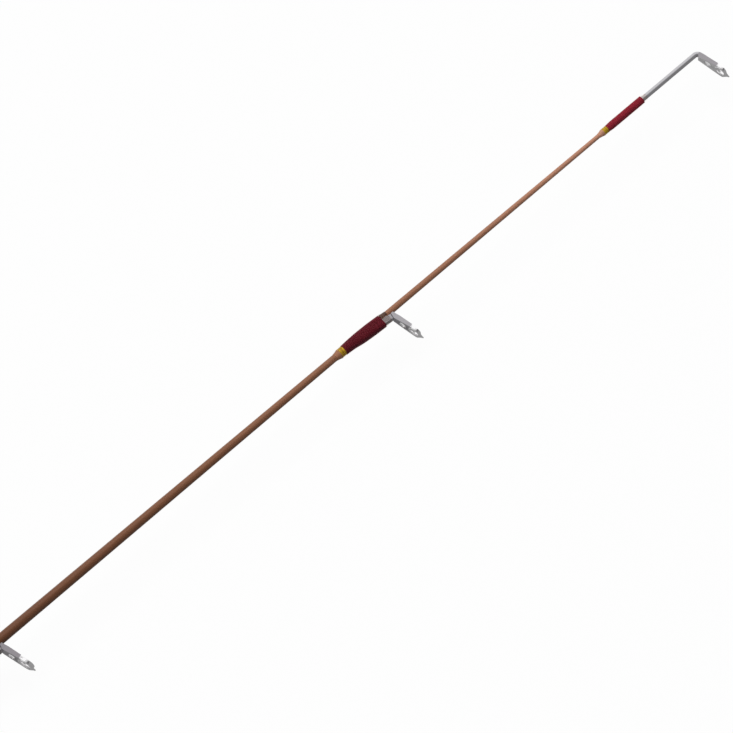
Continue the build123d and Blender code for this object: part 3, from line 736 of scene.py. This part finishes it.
# ------------------------------------------------------------------ guides and metal trim
class Blade:
    """Where a guide's blade and ring lie, from the mount of the ring's bore."""

    def __init__(self, guide, mount):
        place = next(m for m in frame["record"]["mounts"] if m["name"] == mount)
        rim = (place["dims"]["length_mm"] - bore_margin) * mm
        self.centre = Vector(place["pos_m"])
        self.out = Vector((0, self.centre.y, self.centre.z)).normalized()
        self.normal = -Vector(place["axis"])
        self.across = self.normal.cross(Vector((0, self.centre.y, self.centre.z))).normalized()
        self.down = self.across.cross(self.normal)
        self.back = self.centre - self.normal * rim / 2
        points = [vertex.co - self.centre for vertex in nodes[guide + "_ring"].data.vertices]
        self.reach = max(point.dot(self.down) for point in points)

    def along(self, point):
        """Ring radii from the ring's centre towards the blade's end."""
        return (point - self.centre).dot(self.down) / self.reach

    def aside(self, point):
        """Distance to one side of the blade's middle line."""
        return (point - self.centre).dot(self.across)

    def depth(self, point):
        """Distance in front of the blade's back."""
        return (point - self.back).dot(self.normal)

    def cut(self, shape):
        """Divides the blade's faces, along it and across it."""
        for places, way in ((cuts_along, self.down), (cuts_across, self.across)):
            for place in places:
                everything = shape.verts[:] + shape.edges[:] + shape.faces[:]
                at = self.centre + way * place * self.reach
                bmesh.ops.bisect_plane(shape, geom=everything, plane_co=at, plane_no=way)

    def form(self, shape):
        """Cuts the flanges down beside the ring, and narrows the blade's end."""
        beside_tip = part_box("blank")[1].x - 1 * mm
        blank_radius = radius_at(surface("blank"), min(self.centre.x, beside_tip), 0.0)
        for vertex in shape.verts:
            along = self.along(vertex.co)
            depth = self.depth(vertex.co)
            height = np.interp(along, flange_places, flange_heights) * mm
            if depth > height:
                vertex.co -= self.normal * (depth - height)
            narrow = np.interp(along, narrow_places, narrow_shares)
            vertex.co -= self.across * self.aside(vertex.co) * narrow
            short = blank_radius - vertex.co.dot(self.out)
            if short > 0 and depth > 0:
                vertex.co += self.down * short / self.down.dot(self.out)

    def painted_light(self, face, strip, back):
        """How bright a face is painted, given the painted light of the flanges' strip and of the
        back.

        The insides of the flanges and the blade round the ring are painted bright."""
        spot = self.aside(face.center)
        if face.normal.dot(self.across) * spot < -faces_in * abs(spot):
            return 1.0
        side = strip
        if face.normal.dot(self.normal) < -faces_back:
            side = back + edge_painted_light * abs(spot) / self.reach
        levels = [side, 1, 1, lip_painted_light, lip_painted_light, 1]
        return float(np.interp(self.along(face.center), painted_light_places, levels))


def guide_frame(guide, blade):
    """A guide's frame, with flanges cut down beside the ring, so that the ring stands free."""
    made = finished_copy(guide + "_frame", "guide_metal")
    shape = bmesh.new()
    shape.from_mesh(made.data)
    blade.cut(shape)
    blade.form(shape)
    shape.to_mesh(made.data)
    shape.free()
    # Each face's painted light and shade, kept as the attribute painted_light.
    levels = [blade.painted_light(face, *frame_painted_light[guide]) for face in made.data.polygons]
    note(made.data, "painted_light", "FACE", levels)
    rounded = made.modifiers.new("rounded", "BEVEL")
    rounded.width = blade_edge
    rounded.segments = 3
    rounded.limit_method = "ANGLE"
    rounded.angle_limit = crease
    rounded.harden_normals = True
    made.modifiers.move(1, 0)


def guide_ring(guide, blade):
    """A guide's ring, nearly flush at the blade's back."""
    made = finished_copy(guide + "_ring", "ring_metal")
    for vertex in made.data.vertices:
        depth = blade.depth(vertex.co) + ring_proud
        if depth < 0:
            vertex.co -= blade.normal * depth * ring_trim


mount_of = {guide: guide + "_bore" for guide in line_guides}
mount_of["tip"] = "tip_ring_bore"
for guide, mount in mount_of.items():
    blade = Blade(guide, mount)
    guide_frame(guide, blade)
    guide_ring(guide, blade)
for name in (
    "tip_tube", "hook_keeper", "trim_ring", "winding_check", "nut_band",
    "fixed_hood_shell", "slide_hood_shell", "seat_body", "slide_hood", "butt_cap",
):
    finished_copy(name, slot_of[name])


# ------------------------------------------------------------------ screw of the reel seat
def seat_thread():
    """Right-hand thread round the front of the seat, open at the groove for the hood's key.

    Gives the radius of its crests."""
    tree = surface("seat_body")
    low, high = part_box("seat_body")
    groove = guides_turn + pi
    beside = groove + pi / 2
    barrel = radius_at(tree, (low.x + high.x) / 2, beside)
    root = radius_at(tree, high.x - 1 * mm, beside)
    start = high.x
    while radius_at(tree, start - screw_look, beside) < barrel - barrel_step:
        start -= screw_look
    key = asin(key_half / root)
    open_turn = 2 * pi - 2 * key
    around = [groove + key + open_turn * i / screw_turns for i in range(screw_turns + 1)]
    rows = 1 + round((high.x - start) / screw_scan)
    places = np.linspace(start + screw_inset, high.x - screw_inset, rows)
    turns = turns_of(places, screw_pitch, around)
    height = np.clip((np.abs(turns - np.round(turns)) - 0.25) * flank + 0.5, 0.0, 1.0)
    ends = np.minimum(places - places[0], places[-1] - places) / screw_runout
    radii = root + screw_depth * height * np.clip(ends, 0.0, 1.0)[:, None] + screw_lift
    inner = np.full_like(radii, root - screw_wall)
    mesh = mesh_of("seat_thread", sleeve(places, radii, inner, around, True))
    piece("seat_thread", mesh, "seat_plastic", "rod")
    return root + screw_depth


def lock_nut(crest):
    """The lock nut, bored out to clear the thread's crests."""
    made = finished_copy("lock_nut", "seat_plastic")
    for vertex in made.data.vertices:
        radius = Vector((0, vertex.co.y, vertex.co.z))
        if radius.length < crest:
            vertex.co += radius.normalized() * (crest + screw_play - radius.length)


lock_nut(seat_thread())


# ------------------------------------------------------------------ cork
def cork_grip(name):
    """A grip glued from cork rings: seams between them, and pits in the sanded face."""
    low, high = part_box(name)
    rows = 1 + round((high.x - low.x) / cork_scan)
    places = np.linspace(low.x + end_inset, high.x - end_inset, rows)
    turns = angles(2 * round_sides)
    outer = all_round(scan(surface(name), places).max(axis=1), len(turns))
    for row, x in zip(outer, places):
        rings = (x - low.x) / cork_ring
        from_seam = abs(rings - round(rings)) * cork_ring
        seam = cork_seam * max(0.0, 1 - from_seam / cork_seam_half)
        for i, angle in enumerate(turns):
            spot = Vector((x * cork_stretch, row[i] * cos(angle), row[i] * sin(angle))) / mm
            rough = noise.noise(spot * pit_scale) + crumb_share * noise.noise(spot * crumb_scale)
            pit = cork_pit * min(1.0, max(0.0, (rough - pit_level) * pit_edge))
            row[i] -= seam + pit + cork_wave * (1 + noise.noise(spot * wave_scale))
    bore = np.full_like(outer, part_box("blank")[1].y + cork_glue)
    mesh = mesh_of(name + "_cork", sleeve(places, outer, bore, turns))
    piece(name + "_cork", mesh, "cork", "rod", [name])


cork_grip("rear_grip")
cork_grip("fore_grip")


# ------------------------------------------------------------------ camera
def camera():
    """The view down onto the tip end, from in front of the rod and behind the guides."""
    azimuth, elevation, roll = radians(-22.508), radians(48.788), radians(-22.823)
    place = Matrix.Translation((0.25326, -0.91799, 1.12282))
    turn = Matrix.Rotation(azimuth, 4, "Z") @ Matrix.Rotation(pi / 2 - elevation, 4, "X")
    seen = bpy.data.objects.new("camera", bpy.data.cameras.new("camera"))
    bpy.context.scene.collection.objects.link(seen)
    seen.matrix_world = place @ turn @ Matrix.Rotation(roll, 4, "Z")
    seen.data.lens = 268.245
    seen.data.sensor_width = 36
    seen.data.clip_end = 50
    bpy.context.scene.camera = seen


camera()


# ------------------------------------------------------------------ floor, world and lights
def seen_directly(s):
    """1 for rays from the camera, off gloss or through glass, 0 for the rest."""
    path = s.add("LightPath").outputs
    first = s.math("MAXIMUM", path["Is Camera Ray"], path["Is Glossy Ray"])
    return s.math("MAXIMUM", first, path["Is Transmission Ray"])


def stage_piece(name, points, faces):
    """A piece of the stage, which isn't part of the object, and its material's nodes."""
    mesh = bpy.data.meshes.new(name)
    mesh.from_pydata(points, [], faces)
    made = bpy.data.objects.new(name, mesh)
    bpy.context.scene.collection.objects.link(made)
    made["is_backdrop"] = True
    s = Shader(name)
    mesh.materials.append(s.made)
    return made, s


def level_plane(centre, width, depth):
    """Points and faces of a flat rectangle that faces up."""
    x, y, z = centre
    w, d = width / 2, depth / 2
    points = [(x - w, y - d, z), (x + w, y - d, z), (x + w, y + d, z), (x - w, y + d, z)]
    return points, [(0, 1, 2, 3)]


def floor():
    """A pale floor that the rod lies on, white to the camera but for the rod's shadow."""
    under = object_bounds()[0].z - 0.1 * mm
    made, s = stage_piece("floor", *level_plane((0.4, 0, under), 30, 30))
    seen = seen_directly(s)
    grey = s.add("BsdfDiffuse", Color=s.mix(seen, (0.34, 0.34, 0.34), (0.9, 0.9, 0.9)))
    white = s.add("Emission", Color=(1, 1, 1), Strength=1.0)
    s.show_only(s.layer(s.math("MULTIPLY", seen, floor_white), grey, white))


def world():
    """Soft grey surroundings, white to the camera and in reflections."""
    s = Shader("world", bpy.data.worlds)
    soft = s.add("Background", Color=(0.2, 0.2, 0.21))
    white = s.add("Background", Color=(1, 1, 1))
    s.show_only(s.layer(seen_directly(s), soft, white))
    bpy.context.scene.world = s.made


def lamp(name, at, aim, size, power):
    """A large soft lamp that reflections don't show."""
    made = bpy.data.objects.new(name, bpy.data.lights.new(name, "AREA"))
    made.data.size = size
    made.data.energy = power
    made.location = at
    made.rotation_euler = (Vector(aim) - Vector(at)).to_track_quat("-Z", "Y").to_euler()
    made.visible_camera = False
    made.visible_glossy = False
    bpy.context.scene.collection.objects.link(made)


def card(name, points, faces):
    """A card that shows only in reflections. Its grey follows its height."""
    made, s = stage_piece(name, points, faces)
    made.visible_camera = False
    made.visible_diffuse = False
    made.visible_transmission = False
    made.visible_shadow = False
    height = s.add("SeparateXYZ", n0=s.add("TexCoord").outputs["Object"]).outputs[2]
    level = s.ramp(
        height, (0.0, (card_low,) * 3), (0.7, (card_low,) * 3),
        (0.93, (card_high,) * 3), (1.0, (card_high,) * 3),
    )
    s.show_only(s.add("Emission", Color=level, Strength=1.0))


def curved_card():
    """A quarter of a grey tube along the rod, in front of it and over the camera's side."""
    turns = [radians(card_start + card_turn * i / card_steps) for i in range(card_steps + 1)]
    points = [
        (x, -card_radius * cos(turn), card_radius * sin(turn))
        for turn in turns for x in card_ends
    ]
    faces = [(2 * i, 2 * i + 1, 2 * i + 3, 2 * i + 2) for i in range(card_steps)]
    card("curved_card", points, faces)


def floor_card():
    """A grey strip on the floor in front of the rod."""
    front, back = -1.2, 6 * mm
    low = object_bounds()[0].z
    card("floor_card", *level_plane((0.5, (front + back) / 2, low), 5, back - front))


floor()
world()
lamp("key", (0.5, 0.35, 1.9), (0.5, 0, 0), 2.0, 34)
curved_card()
floor_card()

bpy.context.scene.view_settings.view_transform = "Standard"
